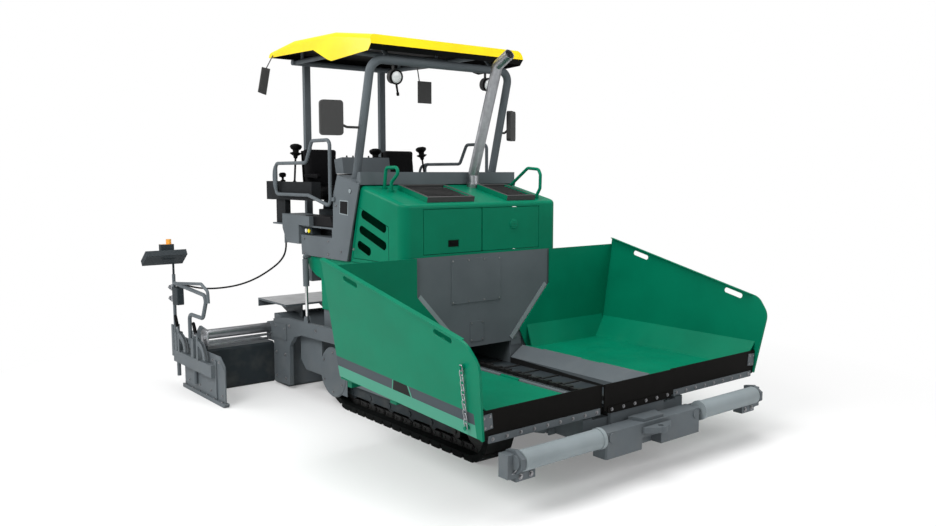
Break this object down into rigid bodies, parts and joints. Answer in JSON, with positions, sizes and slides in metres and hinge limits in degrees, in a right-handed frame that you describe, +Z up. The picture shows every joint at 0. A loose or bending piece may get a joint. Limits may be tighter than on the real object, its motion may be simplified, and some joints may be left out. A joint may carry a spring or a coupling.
{
  "type": "compact asphalt paver on tracks",
  "caption": "Compact asphalt paver on tracks: open hopper with folding wings, push rollers, engine hood, operator's stand under a roof, augers and an extending screed.",
  "frame": {"origin": "centre of the footprint on the ground, below the middle of the machine", "axes": "+Z up, -Y towards the hopper and the way it travels, +X to the machine's own left"},
  "size_m": [4.202, 4.95, 3.4994],
  "materials": {
    "green": "green",
    "grey": "grey",
    "dark_steel": "dark steel",
    "yellow": "yellow",
    "rubber": "rubber",
    "chrome": "chrome",
    "pipe": "pipe",
    "black_plastic": "black plastic",
    "fabric": "fabric"
  },
  "bodies": {
    "tractor": {"apron_centre": "rubber", "auger_case": "grey", "cabinets": "grey", "chassis": "grey", "console": "black_plastic", "conveyor": "dark_steel", "engine": "dark_steel", "exhaust": "pipe", "grab_handles": "grey", "guard_rails": "grey", "hood": "green", "hopper_wall": "grey", "intake_grilles": "black_plastic", "levelling_cylinders": "grey", "mirrors_and_lamps": "black_plastic", "roof": "yellow", "roof_frame": "grey", "running_gear_l": "grey", "running_gear_r": "grey", "screed_cable": "rubber", "seat_feet": "black_plastic", "side_boxes": "black_plastic", "side_panels": "green", "stand": "grey", "stand_sides": "grey", "track_l": "dark_steel", "track_r": "dark_steel"},
    "wing_l": {"wing_l": "green", "apron_l": "rubber", "apron_strip_l": "grey"},
    "wing_r": {"wing_r": "green", "apron_r": "rubber", "apron_strip_r": "grey"},
    "hopper_barrel_l": {"hopper_barrel_l": "grey"},
    "hopper_barrel_r": {"hopper_barrel_r": "grey"},
    "hopper_rod_l": {"hopper_rod_l": "chrome"},
    "hopper_rod_r": {"hopper_rod_r": "chrome"},
    "push_bar": {"push_bar": "grey"},
    "push_roller_l": {"push_roller_l": "grey"},
    "push_roller_r": {"push_roller_r": "grey"},
    "auger_l": {"auger_l": "grey"},
    "auger_r": {"auger_r": "grey"},
    "screed": {"screed_body": "grey", "walkway": "grey"},
    "lift_barrel_l": {"lift_barrel_l": "grey"},
    "lift_barrel_r": {"lift_barrel_r": "grey"},
    "lift_rod_l": {"lift_rod_l": "chrome"},
    "lift_rod_r": {"lift_rod_r": "chrome"},
    "extension_l": {"extension_l": "grey", "end_gate_l": "grey", "remote_console_l": "black_plastic"},
    "extension_r": {"extension_r": "grey", "end_gate_r": "grey", "remote_console_r": "black_plastic"},
    "front_door_l": {"front_door_l": "green"},
    "front_door_r": {"front_door_r": "green"},
    "side_door_l": {"side_door_l": "green"},
    "side_door_r": {"side_door_r": "green"},
    "seat_l": {"seat_l": "fabric"},
    "seat_r": {"seat_r": "fabric"}
  },
  "joints": [
    {"name": "wing_fold_l", "type": "hinge", "parent": "tractor", "child": "wing_l", "pos_m": [0.462, 0, 0.58], "axis": [0, -1, 0], "range_deg": [0, 45]},
    {"name": "hopper_barrel_l", "type": "hinge", "parent": "tractor", "child": "hopper_barrel_l", "pos_m": [0.6, -1.85, 0.33], "axis": [0, -1, 0], "range_deg": [0, 44]},
    {"name": "hopper_rod_l", "type": "slide", "parent": "hopper_barrel_l", "child": "hopper_rod_l", "axis": [0.9622, 0, 0.2723], "range_m": [0, 0.23]},
    {"name": "wing_fold_r", "type": "hinge", "parent": "tractor", "child": "wing_r", "pos_m": [-0.462, 0, 0.58], "axis": [0, 1, 0], "range_deg": [0, 45]},
    {"name": "hopper_barrel_r", "type": "hinge", "parent": "tractor", "child": "hopper_barrel_r", "pos_m": [-0.6, -1.85, 0.33], "axis": [0, 1, 0], "range_deg": [0, 44]},
    {"name": "hopper_rod_r", "type": "slide", "parent": "hopper_barrel_r", "child": "hopper_rod_r", "axis": [-0.9622, 0, 0.2723], "range_m": [0, 0.23]},
    {"name": "push_pivot", "type": "hinge", "parent": "tractor", "child": "push_bar", "pos_m": [0, -2.3, 0.36], "axis": [0, 0, 1], "range_deg": [-4, 4]},
    {"name": "push_roller_l", "type": "hinge", "parent": "push_bar", "child": "push_roller_l", "pos_m": [0.93, -2.343, 0.37], "axis": [1, 0, 0], "continuous": true},
    {"name": "auger_l", "type": "hinge", "parent": "tractor", "child": "auger_l", "pos_m": [0.47, 1.34, 0.35], "axis": [1, 0, 0], "continuous": true},
    {"name": "push_roller_r", "type": "hinge", "parent": "push_bar", "child": "push_roller_r", "pos_m": [-0.93, -2.343, 0.37], "axis": [1, 0, 0], "continuous": true},
    {"name": "auger_r", "type": "hinge", "parent": "tractor", "child": "auger_r", "pos_m": [-0.47, 1.34, 0.35], "axis": [1, 0, 0], "continuous": true},
    {"name": "screed_lift", "type": "hinge", "parent": "tractor", "child": "screed", "pos_m": [0, -0.15, 0.68], "axis": [1, 0, 0], "range_deg": [0, 8]},
    {"name": "lift_barrel_l", "type": "hinge", "parent": "tractor", "child": "lift_barrel_l", "pos_m": [0.945, 1.165, 1.385], "axis": [-1, 0, 0], "range_deg": [0, 4.5]},
    {"name": "lift_rod_l", "type": "slide", "parent": "lift_barrel_l", "child": "lift_rod_l", "axis": [0, 0.0246, 0.9997], "range_m": [0, 0.19]},
    {"name": "extension_l", "type": "slide", "parent": "screed", "child": "extension_l", "axis": [-1, 0, 0], "range_m": [0, 0.69]},
    {"name": "lift_barrel_r", "type": "hinge", "parent": "tractor", "child": "lift_barrel_r", "pos_m": [-0.945, 1.165, 1.385], "axis": [-1, 0, 0], "range_deg": [0, 4.5]},
    {"name": "lift_rod_r", "type": "slide", "parent": "lift_barrel_r", "child": "lift_rod_r", "axis": [0, 0.0246, 0.9997], "range_m": [0, 0.19]},
    {"name": "extension_r", "type": "slide", "parent": "screed", "child": "extension_r", "axis": [1, 0, 0], "range_m": [0, 0.69], "deforming": ["screed_cable"]},
    {"name": "front_door_r", "type": "hinge", "parent": "tractor", "child": "front_door_r", "pos_m": [-0.673, -0.435, 1.7], "axis": [0, 0, 1], "range_deg": [-100, 0]},
    {"name": "front_door_l", "type": "hinge", "parent": "tractor", "child": "front_door_l", "pos_m": [0.636, -0.435, 1.7], "axis": [0, 0, -1], "range_deg": [-100, 0]},
    {"name": "side_door_l", "type": "hinge", "parent": "tractor", "child": "side_door_l", "pos_m": [0.884, -0.209, 1.5], "axis": [0, 0, 1], "range_deg": [-90, 0]},
    {"name": "side_door_r", "type": "hinge", "parent": "tractor", "child": "side_door_r", "pos_m": [-0.884, -0.209, 1.5], "axis": [0, 0, -1], "range_deg": [-90, 0]},
    {"name": "seat_l", "type": "hinge", "parent": "tractor", "child": "seat_l", "pos_m": [0.49, 1.48, 1.9], "axis": [0, 0, 1], "range_deg": [0, 60]},
    {"name": "seat_r", "type": "hinge", "parent": "tractor", "child": "seat_r", "pos_m": [-0.49, 1.48, 1.9], "axis": [0, 0, -1], "range_deg": [0, 60]}
  ],
  "couplings": [
    {"joint": "hopper_barrel_l", "follows": "wing_fold_l", "ratio": 0.9407},
    {"joint": "hopper_rod_l", "follows": "wing_fold_l", "m_per_rad": 0.2755},
    {"joint": "hopper_barrel_r", "follows": "wing_fold_r", "ratio": 0.9407},
    {"joint": "hopper_rod_r", "follows": "wing_fold_r", "m_per_rad": 0.2755},
    {"joint": "lift_barrel_l", "follows": "screed_lift", "ratio": 0.5025},
    {"joint": "lift_rod_l", "follows": "screed_lift", "m_per_rad": 1.276},
    {"joint": "lift_barrel_r", "follows": "screed_lift", "ratio": 0.5025},
    {"joint": "lift_rod_r", "follows": "screed_lift", "m_per_rad": 1.276}
  ]
}
